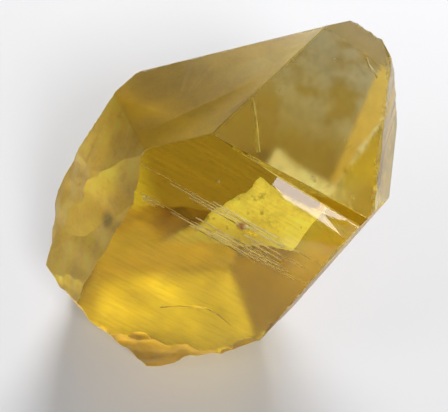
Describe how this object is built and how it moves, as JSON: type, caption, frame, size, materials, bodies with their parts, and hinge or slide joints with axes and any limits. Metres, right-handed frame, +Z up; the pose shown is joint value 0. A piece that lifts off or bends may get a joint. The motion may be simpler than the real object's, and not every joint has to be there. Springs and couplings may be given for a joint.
{
  "type": "topaz crystal",
  "caption": "Loose golden gem crystal: a faceted prism under a slanting chisel point, with growth lines, broken at its foot, where it lies on a flat break.",
  "frame": {"origin": "on the surface that the crystal lies on, under the middle of its box", "axes": "+Z up, away from the flat break that it lies on; +X to the right of the pictured side, which faces -Y and up; the point leans up towards +X and +Y"},
  "size_m": [0.039, 0.0286, 0.0312],
  "materials": {
    "crystal": "clear golden yellow, glossy on the front face and satin on the point"
  },
  "bodies": {
    "root": {"topaz_crystal": "crystal"}
  },
  "joints": []
}
